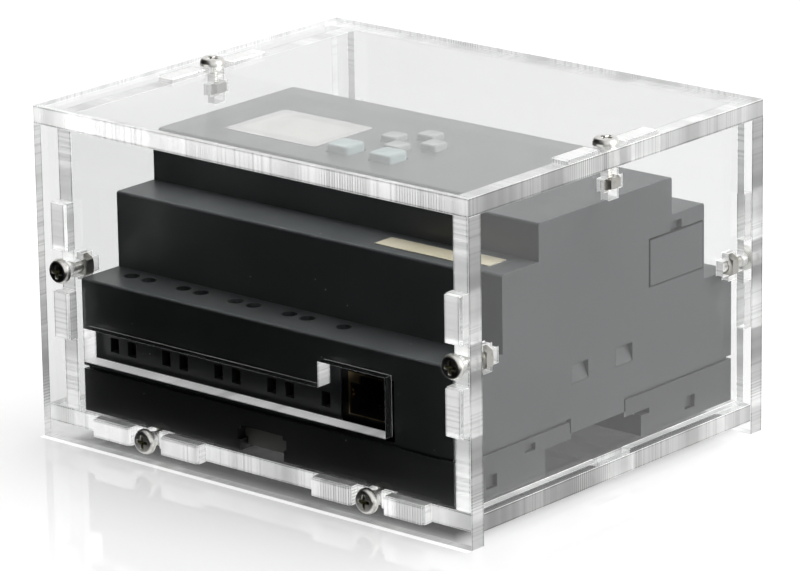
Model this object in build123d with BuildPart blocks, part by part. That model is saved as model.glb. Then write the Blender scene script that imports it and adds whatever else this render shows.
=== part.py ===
"""Clear screwed sheet case with a DIN-rail logic module standing inside it.

Millimetres. The origin is the centre of the footprint on the table, +Z is up and the front panel,
with the window for the module's wires and network socket, faces -Y.
"""
import os

from build123d import *

os.makedirs("parts", exist_ok=True)

# Case, cut from flat clear sheet to fit round the module
sheet = 4.0
base_rise = 3.0
left_margin = 5.0
right_margin = 2.0
module_left_gap = 0.6
module_right_gap = 1.4
module_front_gap = 1.25
module_back_gap = 0.25
module_headroom = 8.7

# Sides of the small round features that repeat many times
head_sides = 16
small_round_sides = 12
shank_sides = 6

# Tab and slot joints, two tabs either side of one screw
tab_length = 10.4
tab_spacing = 20.0
tab_play = 0.1
tab_proud = 0.8
lid_tab_proud = 0.3
base_joint_spacing = 63.2

# M3 pan head screws and the nuts held in T-slots
screw_diameter = 3.0
screw_hole = 3.3
screw_length = 10.0
head_diameter = 5.6
head_height = 2.1
head_rim = 0.8
head_taper = 35.0
recess_span = 3.2
recess_width = 0.8
recess_depth = 1.1
nut_flats = 5.5
nut_thickness = 2.4
nut_bore_play = 0.1
nut_play = 0.25
nut_seat = 2.8
nut_slot_depth = 7.5

# Module outline
module_length = 105.0
module_depth = 90.0
low_tier_rise = 30.0
mid_tier_step = 17.0
top_tier_step = 8.3
front_low_tier = 11.8
front_mid_tier = 12.0
back_low_tier = 9.8
back_mid_tier = 11.4
cover_wall = 2.0
edge_radius = 0.6

# Lower moulding and its rail channel, for a 35 mm rail
seam_rise = 10.3
seam_groove = 0.8
base_floor = 3.4
underside_relief = 1.7
relief_rim = 1.2
relief_depth = 8.0
relief_end_wall = 8.0
rail_width = 35.0
rail_play = 0.5
rail_offset = -1.85
rail_seat_rise = 5.8
rail_crown_rise = 7.0
rail_crown_width = 18.0
rail_lip = 2.8
rail_lip_height = 4.6
channel_roof = 2.0
tongue_play = 0.5

# Rail latch, a T-section slide
latch_offset = -0.75
latch_width = 13.6
latch_stem_width = 12.0
latch_flange = 2.0
latch_stem = 1.8
latch_rise = 0.8
latch_recess = 2.4
latch_nose = 2.0
latch_play = 0.2
latch_wall = 2.2
latch_finger_height = 1.1
latch_finger_depth = 6.0

# Terminals
terminal_pitch = 5.08
relay_count = 4
first_terminal_margin = 7.6
last_terminal_margin = 36.44
back_terminal_count = 10
entry_width = 2.5
entry_height = 3.3
entry_rise = 15.6
screw_setback = 7.9
terminal_hole = 3.6
clamp_width = 4.2
clamp_depth = 6.4
clamp_height = 11.4
terminal_head = 3.2
terminal_head_height = 1.8
terminal_shank = 2.0
terminal_shank_play = 0.05
terminal_grip = 2.5
terminal_slot = 0.6
terminal_sink = 0.6

# Network socket
socket_margin = 24.1
socket_width = 15.9
socket_height = 13.4
socket_depth = 15.0
socket_setback = 0.3
socket_play = 0.2
jack_width = 11.8
jack_height = 6.9
jack_floor = 3.2
jack_notch_width = 6.4
jack_notch_height = 1.8
jack_depth = 12.8
contact_count = 8
contact_pitch = 1.02
contact_width = 0.5
contact_length = 7.0
contact_thickness = 0.4

# Window in the front panel, measured from the wire entries and the socket
window_below_entry = 3.1
window_above_entry = 4.4
window_left_of_entry = 3.1
window_side_of_socket = 0.6
window_left_of_socket = 1.9
window_above_jack = 3.2

# Display and keys on the top face
display_offset_x = -27.5
display_offset_y = -2.9
display_width = 26.2
display_depth = 20.0
display_thickness = 1.5
display_proud = 0.1
display_ledge = 1.2
display_play = 0.1
display_corner = 1.0
key_play = 0.15
key_travel = 0.8
key_flange = 0.4
key_flange_thickness = 1.3
key_free_gap = 0.1
key_corner = 0.8
command_key_size = 6.3
command_key_proud = 1.8
command_key_pitch = 11.9
command_keys_x = -1.3
command_keys_y = -10.6
arrow_key_size = 4.6
arrow_key_proud = 1.4
arrow_key_reach = 5.6
arrow_keys_x = 1.2
arrow_keys_y = 2.1

# Boards and what stands on them
board_thickness = 1.6
board_margin = 0.6
relay_width = 10.0
relay_depth = 20.0
relay_height = 15.5
relay_setback = 18.0
lcd_margin = 0.6
lcd_gap = 0.3
pad_thickness = 2.0
pad_margin = 0.6
pad_post = 3.6
pad_gap = 0.1

# Details of the end faces
cap_setback = 9.9
cap_width = 18.6
cap_height = 10.5
cap_rise = 32.7
cap_thickness = 1.4
cap_proud = 0.2
cap_ledge = 1.2
cap_play = 0.2
cap_nick = 4.0
end_pocket_width = 5.6
end_pocket_height = 4.1
end_pocket_depth = 1.6
end_pocket_rise = 17.8
end_pocket_offsets = (-7.8, 7.3)
snap_hole_width = 3.4
snap_hole_height = 2.8
snap_hole_depth = 1.0
snap_hole_rise = 2.0
snap_hole_offsets = (-37.2, 30.2)
catch_hole_width = 3.4
catch_hole_height = 1.6
catch_hole_rise = 6.6
catch_hole_offset = -24.5
label_length = 27.6
label_width = 5.6
label_thickness = 0.2
label_margin = 6.1
label_setback = 3.2

# Places of the case panels
case_width = left_margin + right_margin + 2 * sheet + module_left_gap + module_length + module_right_gap
case_depth = 2 * sheet + module_front_gap + module_depth + module_back_gap
case_height = base_rise + 2 * sheet + low_tier_rise + mid_tier_step + top_tier_step + module_headroom
front_outer = -case_depth / 2
front_inner = front_outer + sheet
back_outer = case_depth / 2
back_inner = back_outer - sheet
lid_bottom = case_height - sheet
floor_top = base_rise + sheet
left_outer = -case_width / 2 + left_margin
left_inner = left_outer + sheet
right_outer = case_width / 2 - right_margin
side_centers = (left_outer + sheet / 2, right_outer - sheet / 2)
side_joint_z = (floor_top + lid_bottom) / 2
base_joint_z = base_rise + sheet / 2
base_joint_center = sum(side_centers) / 2
base_joints = (base_joint_center - base_joint_spacing / 2, base_joint_center + base_joint_spacing / 2)

# Places of the module
module_left = left_inner + module_left_gap
module_right = module_left + module_length
module_x = (module_left + module_right) / 2
module_back = back_inner - module_back_gap
module_front = module_back - module_depth
module_y = (module_front + module_back) / 2
seam_z = floor_top + seam_rise
low_tier_z = floor_top + low_tier_rise
mid_tier_z = low_tier_z + mid_tier_step
top_tier_z = mid_tier_z + top_tier_step
mid_front = module_front + front_low_tier
mid_back = module_back - back_low_tier
top_front = mid_front + front_mid_tier
top_back = mid_back - back_mid_tier
rail_front = module_y + rail_offset - (rail_width + rail_play) / 2
rail_back = rail_front + rail_width + rail_play
rail_seat_z = floor_top + rail_seat_rise
rail_crown_z = floor_top + rail_crown_rise
crown_front = module_y + rail_offset - rail_crown_width / 2
crown_back = crown_front + rail_crown_width
channel_roof_z = rail_crown_z + channel_roof
power_board_top = channel_roof_z + board_thickness
main_board_top = mid_tier_z - cover_wall
inner_top_z = top_tier_z - cover_wall

# Places of the terminals
front_screw_y = module_front + screw_setback
back_screw_y = module_back - screw_setback
first_terminal = module_left + first_terminal_margin
last_terminal = module_right - last_terminal_margin
relay_pitch = (last_terminal - first_terminal) / relay_count
front_terminals = [
    first_terminal + relay * relay_pitch + pole * terminal_pitch
    for relay in range(relay_count)
    for pole in range(2)
] + [last_terminal]
back_terminals = [
    module_x + (index - (back_terminal_count - 1) / 2) * terminal_pitch
    for index in range(back_terminal_count)
]
terminal_places = [(x, front_screw_y) for x in front_terminals] + [(x, back_screw_y) for x in back_terminals]
entry_z = floor_top + entry_rise
clamp_top = power_board_top + clamp_height
terminal_head_top = low_tier_z - cover_wall - terminal_sink

# Places of the socket, the display and the keys
socket_x = module_right - socket_margin
socket_front = module_front + socket_setback
jack_floor_z = power_board_top + jack_floor
jack_top_z = jack_floor_z + jack_height + jack_notch_height
display_x = module_x + display_offset_x
display_y = module_y + display_offset_y
command_keys = {
    "esc_key": (module_x + command_keys_x - command_key_pitch / 2, module_y + command_keys_y),
    "ok_key": (module_x + command_keys_x + command_key_pitch / 2, module_y + command_keys_y),
}
arrow_x = module_x + arrow_keys_x
arrow_y = module_y + arrow_keys_y
arrow_keys = {
    "up_key": (arrow_x, arrow_y + arrow_key_reach),
    "down_key": (arrow_x, arrow_y - arrow_key_reach),
    "left_key": (arrow_x - arrow_key_reach, arrow_y),
    "right_key": (arrow_x + arrow_key_reach, arrow_y),
}
key_bottom = inner_top_z - key_free_gap - key_flange_thickness
cap_y = mid_back - cap_setback
cap_z = floor_top + cap_rise + cap_height / 2


def add_tabs(x, y, angle, reach):
    """Two tabs either side of a screw, sticking out of an edge in the direction of the angle."""
    with Locations(Location((x, y, 0), (0, 0, angle))):
        with Locations((0, -tab_spacing / 2), (0, tab_spacing / 2)):
            Rectangle(reach, tab_length, align=(Align.MIN, Align.CENTER))


def cut_nut_slot(x, y, angle):
    """T-slot from an edge into the sheet, a stem for the screw and a bar that holds the nut."""
    with Locations(Location((x, y, 0), (0, 0, angle))):
        Rectangle(nut_slot_depth, screw_hole, align=(Align.MIN, Align.CENTER), mode=Mode.SUBTRACT)
        with Locations((nut_seat, 0)):
            Rectangle(
                nut_thickness + nut_play,
                nut_flats + 2 * nut_play,
                align=(Align.MIN, Align.CENTER),
                mode=Mode.SUBTRACT,
            )


def cut_joint(x, y, angle):
    """Two slots for the tabs of a crossing sheet, and the screw hole between them."""
    with Locations(Location((x, y, 0), (0, 0, angle))):
        with Locations((-tab_spacing / 2, 0), (tab_spacing / 2, 0)):
            Rectangle(tab_length + 2 * tab_play, sheet + 2 * tab_play, mode=Mode.SUBTRACT)
        Circle(screw_hole / 2, mode=Mode.SUBTRACT)


def draw_end_panel():
    """Front or back panel: the full width, with slots for both side panels and for the base."""
    with Locations((0, lid_bottom / 2)):
        Rectangle(case_width, lid_bottom)
    for x in side_centers:
        cut_joint(x, side_joint_z, 90)
    for x in base_joints:
        cut_joint(x, base_joint_z, 0)


def draw_side_panel():
    """Side panel: tabs and nut slots on the front, back and top edges, one tab down into the base."""
    with Locations((0, side_joint_z)):
        Rectangle(back_inner - front_inner, lid_bottom - floor_top)
    add_tabs(front_inner, side_joint_z, 180, sheet + tab_proud)
    add_tabs(back_inner, side_joint_z, 0, sheet + tab_proud)
    add_tabs(0, lid_bottom, 90, sheet + lid_tab_proud)
    with Locations((0, floor_top)):
        Rectangle(tab_length, sheet, align=(Align.CENTER, Align.MAX))
    cut_nut_slot(front_inner, side_joint_z, 0)
    cut_nut_slot(back_inner, side_joint_z, 180)
    cut_nut_slot(0, lid_bottom, -90)


def finish(part, name):
    """Label a piece and write it to its own file."""
    part.label = name
    export_step(part, f"parts/{name}.step")


# Lid, with slots for the tabs of both side panels
with BuildPart() as lid:
    with BuildSketch(Plane.XY.offset(lid_bottom)):
        Rectangle(case_width, case_depth)
        for side_x in side_centers:
            cut_joint(side_x, 0, 90)
    extrude(amount=sheet)
finish(lid.part, "lid")

# Front panel, with the stepped window
window_left = front_terminals[0] - entry_width / 2 - window_left_of_entry
window_right = socket_x + socket_width / 2 + window_side_of_socket
window_bottom = entry_z - window_below_entry
window_step_left = socket_x - socket_width / 2 - window_left_of_socket
with BuildPart() as front_panel:
    with BuildSketch(Plane.XZ.offset(-front_inner)):
        draw_end_panel()
        with Locations((window_left, window_bottom)):
            Rectangle(
                window_right - window_left,
                window_below_entry + window_above_entry,
                align=(Align.MIN, Align.MIN),
                mode=Mode.SUBTRACT,
            )
        with Locations((window_step_left, window_bottom)):
            Rectangle(
                window_right - window_step_left,
                jack_top_z + window_above_jack - window_bottom,
                align=(Align.MIN, Align.MIN),
                mode=Mode.SUBTRACT,
            )
    extrude(amount=sheet)
finish(front_panel.part, "front_panel")

# Back panel, closed
with BuildPart() as back_panel:
    with BuildSketch(Plane.XZ.offset(-back_outer)):
        draw_end_panel()
    extrude(amount=sheet)
finish(back_panel.part, "back_panel")

# Side panels, standing on the base between the front and the back
with BuildPart() as left_panel:
    with BuildSketch(Plane.YZ.offset(left_outer)):
        draw_side_panel()
    extrude(amount=sheet)
finish(left_panel.part, "left_panel")

with BuildPart() as right_panel:
    with BuildSketch(Plane.YZ.offset(right_outer - sheet)):
        draw_side_panel()
    extrude(amount=sheet)
finish(right_panel.part, "right_panel")

# Base panel, held by its tabs above the table
with BuildPart() as base_panel:
    with BuildSketch(Plane.XY.offset(base_rise)):
        Rectangle(case_width, back_inner - front_inner)
        for joint_x in base_joints:
            add_tabs(joint_x, front_inner, -90, sheet + tab_proud)
            add_tabs(joint_x, back_inner, 90, sheet + tab_proud)
            cut_nut_slot(joint_x, front_inner, 90)
            cut_nut_slot(joint_x, back_inner, -90)
        with Locations(*[(side_x, 0) for side_x in side_centers]):
            Rectangle(sheet + 2 * tab_play, tab_length + 2 * tab_play, mode=Mode.SUBTRACT)
    extrude(amount=sheet)
finish(base_panel.part, "base_panel")

# Each screw seat faces outwards; its X runs through the thickness of the sheet that holds the nut
screw_seats = [Plane((x, 0, case_height), x_dir=(1, 0, 0), z_dir=(0, 0, 1)) for x in side_centers]
for outer_y, outward in ((front_outer, -1), (back_outer, 1)):
    for side_x in side_centers:
        screw_seats.append(Plane((side_x, outer_y, side_joint_z), x_dir=(1, 0, 0), z_dir=(0, outward, 0)))
    for joint_x in base_joints:
        screw_seats.append(Plane((joint_x, outer_y, base_joint_z), x_dir=(0, 0, 1), z_dir=(0, outward, 0)))

with BuildPart() as case_screws:
    with BuildSketch(*screw_seats):
        RegularPolygon(head_diameter / 2, head_sides)
    extrude(amount=head_rim)
    with BuildSketch(*[seat.offset(head_rim) for seat in screw_seats]):
        RegularPolygon(head_diameter / 2, head_sides)
    extrude(amount=head_height - head_rim, taper=head_taper)
    with BuildSketch(*screw_seats):
        RegularPolygon(screw_diameter / 2, small_round_sides)
    extrude(amount=-screw_length)
    with BuildSketch(*[seat.offset(head_height - recess_depth) for seat in screw_seats]):
        Rectangle(recess_span, recess_width)
        Rectangle(recess_width, recess_span)
    extrude(amount=recess_depth, mode=Mode.SUBTRACT)
finish(case_screws.part, "case_screws")

with BuildPart() as case_nuts:
    with BuildSketch(*[seat.offset(-sheet - nut_seat) for seat in screw_seats]):
        RegularPolygon(nut_flats / 2, 6, major_radius=False)
        RegularPolygon((screw_diameter + nut_bore_play) / 2, small_round_sides, mode=Mode.SUBTRACT)
    extrude(amount=-nut_thickness)
finish(case_nuts.part, "case_nuts")

# Upper moulding: a stepped shell with a tongue down over each end of the rail channel
with BuildPart() as module_cover:
    with BuildSketch(Plane.YZ.offset(module_left)):
        with BuildLine():
            Polyline(
                (module_front, seam_z),
                (module_front, low_tier_z),
                (mid_front, low_tier_z),
                (mid_front, mid_tier_z),
                (top_front, mid_tier_z),
                (top_front, top_tier_z),
                (top_back, top_tier_z),
                (top_back, mid_tier_z),
                (mid_back, mid_tier_z),
                (mid_back, low_tier_z),
                (module_back, low_tier_z),
                (module_back, seam_z),
                (crown_back, seam_z),
                (crown_back, rail_crown_z),
                (crown_front, rail_crown_z),
                (crown_front, seam_z),
                close=True,
            )
        section = make_face()
        outer_corners = [
            vertex
            for vertex in section.vertices()
            if (round(vertex.X, 3), round(vertex.Y, 3))
            in {
                (round(y, 3), round(z, 3))
                for y, z in (
                    (module_front, low_tier_z),
                    (mid_front, mid_tier_z),
                    (top_front, top_tier_z),
                    (top_back, top_tier_z),
                    (mid_back, mid_tier_z),
                    (module_back, low_tier_z),
                )
            }
        ]
        fillet(outer_corners, edge_radius)
    extrude(amount=module_length)
    with BuildSketch(Plane.YZ.offset(module_left + cover_wall)):
        with BuildLine():
            Polyline(
                (module_front + cover_wall, rail_crown_z),
                (module_front + cover_wall, low_tier_z - cover_wall),
                (mid_front + cover_wall, low_tier_z - cover_wall),
                (mid_front + cover_wall, mid_tier_z - cover_wall),
                (top_front + cover_wall, mid_tier_z - cover_wall),
                (top_front + cover_wall, inner_top_z),
                (top_back - cover_wall, inner_top_z),
                (top_back - cover_wall, mid_tier_z - cover_wall),
                (mid_back - cover_wall, mid_tier_z - cover_wall),
                (mid_back - cover_wall, low_tier_z - cover_wall),
                (module_back - cover_wall, low_tier_z - cover_wall),
                (module_back - cover_wall, rail_crown_z),
                close=True,
            )
        make_face()
    extrude(amount=module_length - 2 * cover_wall, mode=Mode.SUBTRACT)
    # Screw holes down through both terminal tiers
    with BuildSketch(Plane.XY.offset(low_tier_z)):
        with Locations(*terminal_places):
            RegularPolygon(terminal_hole / 2, small_round_sides)
    extrude(amount=-cover_wall, mode=Mode.SUBTRACT)
    # Wire entries in the front and the back wall
    with BuildSketch(Plane.XZ.offset(-module_front)):
        with Locations(*[(x, entry_z) for x in front_terminals]):
            Rectangle(entry_width, entry_height)
        with Locations((socket_x, seam_z)):
            Rectangle(
                socket_width + 2 * socket_play,
                power_board_top + socket_height + socket_play - seam_z,
                align=(Align.CENTER, Align.MIN),
            )
    extrude(amount=-cover_wall, mode=Mode.SUBTRACT)
    with BuildSketch(Plane.XZ.offset(-module_back)):
        with Locations(*[(x, entry_z) for x in back_terminals]):
            Rectangle(entry_width, entry_height)
    extrude(amount=cover_wall, mode=Mode.SUBTRACT)
    # Stepped pocket and opening for the display lens
    with BuildSketch(Plane.XY.offset(top_tier_z)):
        with Locations((display_x, display_y)):
            RectangleRounded(
                display_width + 2 * display_play,
                display_depth + 2 * display_play,
                display_corner + display_play,
            )
    extrude(amount=display_proud - display_thickness, mode=Mode.SUBTRACT)
    with BuildSketch(Plane.XY.offset(top_tier_z)):
        with Locations((display_x, display_y)):
            Rectangle(display_width - 2 * display_ledge, display_depth - 2 * display_ledge)
        with Locations(*command_keys.values()):
            RectangleRounded(command_key_size + 2 * key_play, command_key_size + 2 * key_play, key_corner)
        with Locations(*arrow_keys.values()):
            RectangleRounded(arrow_key_size + 2 * key_play, arrow_key_size + 2 * key_play, key_corner)
    extrude(amount=-cover_wall, mode=Mode.SUBTRACT)
    # Pocket and opening behind the expansion cap on the right end
    with BuildSketch(Plane.YZ.offset(module_right)):
        with Locations((cap_y, cap_z)):
            Rectangle(cap_width + 2 * cap_play, cap_height + 2 * cap_play)
        with Locations((cap_y, cap_z + cap_height / 2 + cap_play)):
            Rectangle(cap_nick, cap_nick / 2, align=(Align.CENTER, Align.MIN))
    extrude(amount=cap_proud - cap_thickness, mode=Mode.SUBTRACT)
    with BuildSketch(Plane.YZ.offset(module_right)):
        with Locations((cap_y, cap_z)):
            Rectangle(cap_width - 2 * cap_ledge - 2 * cover_wall, cap_height - 2 * cap_ledge)
    extrude(amount=-cover_wall, mode=Mode.SUBTRACT)
    # Small pockets on both ends, each floor sloping in from its lower edge
    pocket_bottom = floor_top + end_pocket_rise
    pocket_top = pocket_bottom + end_pocket_height
    for end_x, inward in ((module_right, -end_pocket_depth), (module_left, end_pocket_depth)):
        for offset_y in end_pocket_offsets:
            with BuildSketch(Plane.XZ.offset(-module_y - offset_y)):
                with BuildLine():
                    Polyline(
                        (end_x, pocket_bottom),
                        (end_x, pocket_top),
                        (end_x + inward, pocket_top),
                        close=True,
                    )
                make_face()
            extrude(amount=end_pocket_width / 2, both=True, mode=Mode.SUBTRACT)
finish(module_cover.part, "module_cover")

# Lower moulding: a tray over the rail channel, with a guide for the latch
latch_x = module_x + latch_offset
latch_bottom = floor_top + latch_rise
latch_step = latch_bottom + latch_stem
latch_top = latch_step + latch_flange
with BuildPart() as module_base:
    with BuildSketch(Plane.YZ.offset(module_left)):
        with BuildLine():
            Polyline(
                (module_front, floor_top),
                (module_front, seam_z),
                (module_back, seam_z),
                (module_back, floor_top),
                (rail_back - rail_lip, floor_top),
                (rail_back - rail_lip, floor_top + rail_lip_height),
                (rail_back, floor_top + rail_lip_height),
                (rail_back, rail_seat_z),
                (crown_back, rail_seat_z),
                (crown_back, rail_crown_z),
                (crown_front, rail_crown_z),
                (crown_front, rail_seat_z),
                (rail_front, rail_seat_z),
                (rail_front, floor_top),
                close=True,
            )
        make_face()
    extrude(amount=module_length)
    with BuildSketch(Plane.YZ.offset(module_left + cover_wall)):
        with BuildLine():
            Polyline(
                (module_front + cover_wall, seam_z),
                (module_front + cover_wall, floor_top + base_floor),
                (rail_front - cover_wall, floor_top + base_floor),
                (rail_front - cover_wall, channel_roof_z),
                (rail_back + cover_wall, channel_roof_z),
                (rail_back + cover_wall, floor_top + base_floor),
                (module_back - cover_wall, floor_top + base_floor),
                (module_back - cover_wall, seam_z),
                close=True,
            )
        make_face()
    extrude(amount=module_length - 2 * cover_wall, mode=Mode.SUBTRACT)
    # Block that carries the latch, then its T-shaped guide and the finger recess above it
    with BuildSketch(Plane.XY.offset(floor_top)):
        with Locations((latch_x, module_front)):
            Rectangle(
                latch_width + 2 * (latch_play + latch_wall),
                rail_front - module_front,
                align=(Align.CENTER, Align.MIN),
            )
    extrude(amount=latch_top + latch_finger_height + latch_wall - floor_top)
    with BuildSketch(Plane.XZ.offset(-module_front)):
        with Locations((latch_x, floor_top)):
            Rectangle(
                latch_stem_width + 2 * latch_play,
                latch_step - floor_top,
                align=(Align.CENTER, Align.MIN),
            )
        with Locations((latch_x, latch_step - latch_play)):
            Rectangle(
                latch_width + 2 * latch_play,
                latch_flange + 2 * latch_play,
                align=(Align.CENTER, Align.MIN),
            )
    extrude(amount=-(rail_front - module_front), mode=Mode.SUBTRACT)
    with BuildSketch(Plane.XZ.offset(-module_front)):
        with Locations((latch_x, latch_top)):
            Rectangle(latch_stem_width, latch_finger_height, align=(Align.CENTER, Align.MIN))
    extrude(amount=-latch_finger_depth, mode=Mode.SUBTRACT)
    # Relief under both outer strips, over the nuts of the case
    relief_length = (module_length - 2 * relief_end_wall - latch_width) / 2 - latch_play - latch_wall
    with BuildSketch(Plane.XY.offset(floor_top)):
        with Locations((module_left + relief_end_wall, module_front + relief_rim)):
            Rectangle(relief_length + latch_offset, relief_depth, align=(Align.MIN, Align.MIN))
        with Locations((module_right - relief_end_wall, module_front + relief_rim)):
            Rectangle(relief_length - latch_offset, relief_depth, align=(Align.MAX, Align.MIN))
        with Locations((module_x, module_back - relief_rim)):
            Rectangle(module_length - 2 * relief_end_wall, relief_depth, align=(Align.CENTER, Align.MAX))
    extrude(amount=underside_relief, mode=Mode.SUBTRACT)
    # Notches that take the tongues of the upper moulding
    with BuildSketch(Plane.XY.offset(rail_crown_z)):
        for end_x, side in ((module_left, Align.MIN), (module_right, Align.MAX)):
            with Locations((end_x, (crown_front + crown_back) / 2)):
                Rectangle(cover_wall, rail_crown_width + 2 * tongue_play, align=(side, Align.CENTER))
    extrude(amount=seam_z - rail_crown_z, mode=Mode.SUBTRACT)
    # Shadow groove along the seam
    with BuildSketch(Plane.XY.offset(seam_z - seam_groove)):
        with Locations((module_x, module_y)):
            Rectangle(module_length, module_depth)
            Rectangle(module_length - 2 * seam_groove, module_depth - 2 * seam_groove, mode=Mode.SUBTRACT)
    extrude(amount=seam_groove, mode=Mode.SUBTRACT)
    # Snap and catch holes low on both ends
    for end_x, inward in ((module_right, -snap_hole_depth), (module_left, snap_hole_depth)):
        with BuildSketch(Plane.YZ.offset(end_x)):
            with Locations(
                *[(module_y + offset_y, floor_top + snap_hole_rise) for offset_y in snap_hole_offsets]
            ):
                Rectangle(snap_hole_width, snap_hole_height, align=(Align.CENTER, Align.MIN))
            with Locations((module_y + catch_hole_offset, floor_top + catch_hole_rise)):
                Rectangle(catch_hole_width, catch_hole_height, align=(Align.CENTER, Align.MIN))
        extrude(amount=inward, mode=Mode.SUBTRACT)
finish(module_base.part, "module_base")

# Latch: a T-section slide whose nose reaches under the front edge of the rail
with BuildPart() as din_latch:
    with BuildSketch(Plane.XZ.offset(-(module_front + latch_recess))):
        with Locations((latch_x, latch_bottom)):
            Rectangle(latch_stem_width, latch_stem, align=(Align.CENTER, Align.MIN))
        with Locations((latch_x, latch_step)):
            Rectangle(latch_width, latch_flange, align=(Align.CENTER, Align.MIN))
    extrude(amount=-(rail_front + latch_nose - module_front - latch_recess))
finish(din_latch.part, "din_latch")

# Display lens, on the ledge of its pocket
with BuildPart() as display_window:
    with BuildSketch(Plane.XY.offset(top_tier_z + display_proud - display_thickness)):
        with Locations((display_x, display_y)):
            RectangleRounded(display_width, display_depth, display_corner)
    extrude(amount=display_thickness)
finish(display_window.part, "display_window")

# Keys: a cap through the top face, and a flange below it that keeps the key in
key_forms = {name: (place, command_key_size, command_key_proud) for name, place in command_keys.items()}
key_forms.update({name: (place, arrow_key_size, arrow_key_proud) for name, place in arrow_keys.items()})
for key_name, (key_place, key_size, key_proud) in key_forms.items():
    with BuildPart() as key:
        with BuildSketch(Plane.XY.offset(key_bottom)):
            with Locations(key_place):
                Rectangle(key_size + 2 * key_flange, key_size + 2 * key_flange)
        extrude(amount=key_flange_thickness)
        with BuildSketch(Plane.XY.offset(key_bottom)):
            with Locations(key_place):
                RectangleRounded(key_size, key_size, key_corner)
        extrude(amount=top_tier_z + key_proud - key_bottom)
    finish(key.part, key_name)

# Terminals: a cage clamp behind each wire entry and its screw under the hole in the tier
with BuildPart() as terminal_clamps:
    with BuildSketch(Plane.XY.offset(power_board_top)):
        with Locations(*terminal_places):
            Rectangle(clamp_width, clamp_depth)
    extrude(amount=clamp_height)
    for row_y, row in ((front_screw_y, front_terminals), (back_screw_y, back_terminals)):
        with BuildSketch(Plane.XZ.offset(-row_y)):
            with Locations(*[(x, entry_z) for x in row]):
                Rectangle(entry_width, entry_height)
        extrude(amount=clamp_depth / 2, both=True, mode=Mode.SUBTRACT)
    with BuildSketch(Plane.XY.offset(clamp_top)):
        with Locations(*terminal_places):
            RegularPolygon(terminal_shank / 2 + terminal_shank_play, shank_sides)
    extrude(amount=-terminal_grip, mode=Mode.SUBTRACT)
finish(terminal_clamps.part, "terminal_clamps")

with BuildPart() as terminal_screws:
    with BuildSketch(Plane.XY.offset(terminal_head_top - terminal_head_height)):
        with Locations(*terminal_places):
            RegularPolygon(terminal_head / 2, small_round_sides)
    extrude(amount=terminal_head_height)
    with BuildSketch(Plane.XY.offset(clamp_top - terminal_grip)):
        with Locations(*terminal_places):
            RegularPolygon(terminal_shank / 2, shank_sides)
    extrude(amount=terminal_head_top - terminal_head_height - clamp_top + terminal_grip)
    with BuildSketch(Plane.XY.offset(terminal_head_top)):
        with Locations(*terminal_places):
            Rectangle(terminal_head, terminal_slot)
    extrude(amount=-terminal_head_height / 2, mode=Mode.SUBTRACT)
finish(terminal_screws.part, "terminal_screws")

# Network socket, a shielded jack on the power board, with its eight contacts
with BuildPart() as network_socket:
    with BuildSketch(Plane.XY.offset(power_board_top)):
        with Locations((socket_x, socket_front)):
            Rectangle(socket_width, socket_depth, align=(Align.CENTER, Align.MIN))
    extrude(amount=socket_height)
    with BuildSketch(Plane.XZ.offset(-socket_front)):
        with Locations((socket_x, jack_floor_z)):
            Rectangle(jack_width, jack_height, align=(Align.CENTER, Align.MIN))
            Rectangle(jack_notch_width, jack_height + jack_notch_height, align=(Align.CENTER, Align.MIN))
    extrude(amount=-jack_depth, mode=Mode.SUBTRACT)
finish(network_socket.part, "network_socket")

with BuildPart() as socket_contacts:
    with BuildSketch(Plane.XY.offset(jack_floor_z)):
        with Locations((socket_x, socket_front + jack_depth - contact_length / 2)):
            with GridLocations(contact_pitch, contact_length, contact_count, 1):
                Rectangle(contact_width, contact_length)
    extrude(amount=contact_thickness)
finish(socket_contacts.part, "socket_contacts")

# Bare label strip on the middle tier
label_x = module_right - label_margin - label_length / 2
label_y = mid_front + label_setback + label_width / 2
with BuildPart() as rating_label:
    with BuildSketch(Plane.XY.offset(mid_tier_z)):
        with Locations((label_x, label_y)):
            Rectangle(label_length, label_width)
    extrude(amount=label_thickness)
finish(rating_label.part, "rating_label")

# Cover of the expansion connector, on the right end
with BuildPart() as expansion_cap:
    with BuildSketch(Plane.YZ.offset(module_right + cap_proud)):
        with Locations((cap_y, cap_z)):
            Rectangle(cap_width, cap_height)
    extrude(amount=-cap_thickness)
finish(expansion_cap.part, "expansion_cap")

# Power board on the roof of the rail channel, with its relays
with BuildPart() as power_board:
    with BuildSketch(Plane.XY.offset(channel_roof_z)):
        with Locations((module_x, module_y)):
            Rectangle(
                module_length - 2 * (cover_wall + board_margin),
                module_depth - 2 * (cover_wall + board_margin),
            )
    extrude(amount=board_thickness)
finish(power_board.part, "power_board")

with BuildPart() as relays:
    with BuildSketch(Plane.XY.offset(power_board_top)):
        for relay in range(relay_count):
            relay_x = front_terminals[2 * relay] + terminal_pitch / 2
            with Locations((relay_x, module_front + relay_setback)):
                Rectangle(relay_width, relay_depth, align=(Align.CENTER, Align.MIN))
    extrude(amount=relay_height)
finish(relays.part, "relays")

# Main board under the middle tier, with the display unit and the key pad on it
with BuildPart() as main_board:
    with BuildSketch(Plane.XY.offset(main_board_top)):
        with Locations((module_x, (mid_front + mid_back) / 2)):
            Rectangle(
                module_length - 2 * (cover_wall + board_margin),
                mid_back - mid_front - 2 * (cover_wall + board_margin),
            )
    extrude(amount=-board_thickness)
finish(main_board.part, "main_board")

with BuildPart() as lcd_module:
    with BuildSketch(Plane.XY.offset(main_board_top)):
        with Locations((display_x, display_y)):
            Rectangle(display_width + 2 * lcd_margin, display_depth + 2 * lcd_margin)
    extrude(amount=inner_top_z - lcd_gap - main_board_top)
finish(lcd_module.part, "lcd_module")

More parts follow.
